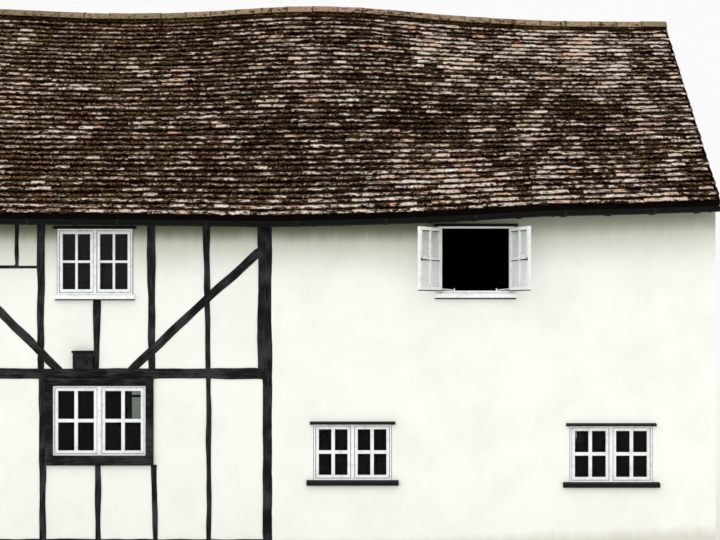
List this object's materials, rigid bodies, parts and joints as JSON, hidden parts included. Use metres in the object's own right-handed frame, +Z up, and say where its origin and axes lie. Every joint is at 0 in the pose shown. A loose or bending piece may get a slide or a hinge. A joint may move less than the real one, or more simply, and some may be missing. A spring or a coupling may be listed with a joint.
{
  "type": "half timbered house",
  "caption": "Two-storey half timbered house with limewashed panels, a rendered half, small-paned casement windows and a sagging plain tile roof.",
  "frame": {"origin": "on the ground, at the middle of the wall-to-wall depth and of the roof's length", "axes": "+X along the length of the house to the right seen from the front, +Y from the front to the back, +Z up"},
  "size_m": [9, 5.6012, 6.9444],
  "materials": {
    "tarred_brick": "tarred brickwork, rough",
    "floor_brick": "worn brick floor",
    "black_timber": "hewn oak, black limewash and tar paint, satin",
    "limewash": "trowelled plaster on daub, limewashed, matt",
    "lime_render": "uneven lime render, limewashed, matt",
    "white_paint": "softwood, white gloss paint, weathered",
    "ironwork": "black painted iron",
    "window_glass": "old thin window glass",
    "old_oak": "bare old oak, dry",
    "weathered_oak": "grey weathered oak",
    "floor_boards": "bare floor boards",
    "clay_tile": "handmade plain tiles, mossy, matt",
    "ridge_tile": "half-round clay ridge tiles with lichen",
    "gutter_black": "black painted half-round iron"
  },
  "bodies": {
    "root": {"back_braces": "black_timber", "back_door": "black_timber", "back_glass": "window_glass", "back_infill_lower": "limewash", "back_infill_upper": "limewash", "back_render": "lime_render", "back_studs": "black_timber", "back_windows": "white_paint", "beam_cap": "weathered_oak", "black_sills": "black_timber", "casement_hinges": "ironwork", "cross_beams": "old_oak", "drip_boards": "black_timber", "fascias": "black_timber", "floor_joists": "old_oak", "front_braces": "black_timber", "front_glass": "window_glass", "front_infill_lower": "limewash", "front_infill_upper": "limewash", "front_render_lower_piers": "lime_render", "front_render_lower_spandrels": "lime_render", "front_render_upper_piers": "lime_render", "front_render_upper_spandrels": "lime_render", "front_studs": "black_timber", "gable_infill": "limewash", "gable_studs": "black_timber", "ground_floor": "floor_brick", "gutter_back": "gutter_black", "gutter_brackets": "gutter_black", "gutter_front": "gutter_black", "horizontal_beams": "black_timber", "main_posts": "black_timber", "open_casements": "white_paint", "party_wall": "lime_render", "plinth_ends": "tarred_brick", "plinth_sides": "tarred_brick", "rafters_back": "old_oak", "rafters_front": "old_oak", "ridge": "ridge_tile", "roof_back": "clay_tile", "roof_front": "clay_tile", "sill_beams": "black_timber", "tie_beams": "old_oak", "upper_floor": "floor_boards", "wall_plates": "old_oak", "window_lower_left": "white_paint", "window_lower_middle": "white_paint", "window_lower_right": "white_paint", "window_open_frame": "white_paint", "window_surrounds": "black_timber", "window_upper_left": "white_paint"}
  },
  "joints": []
}
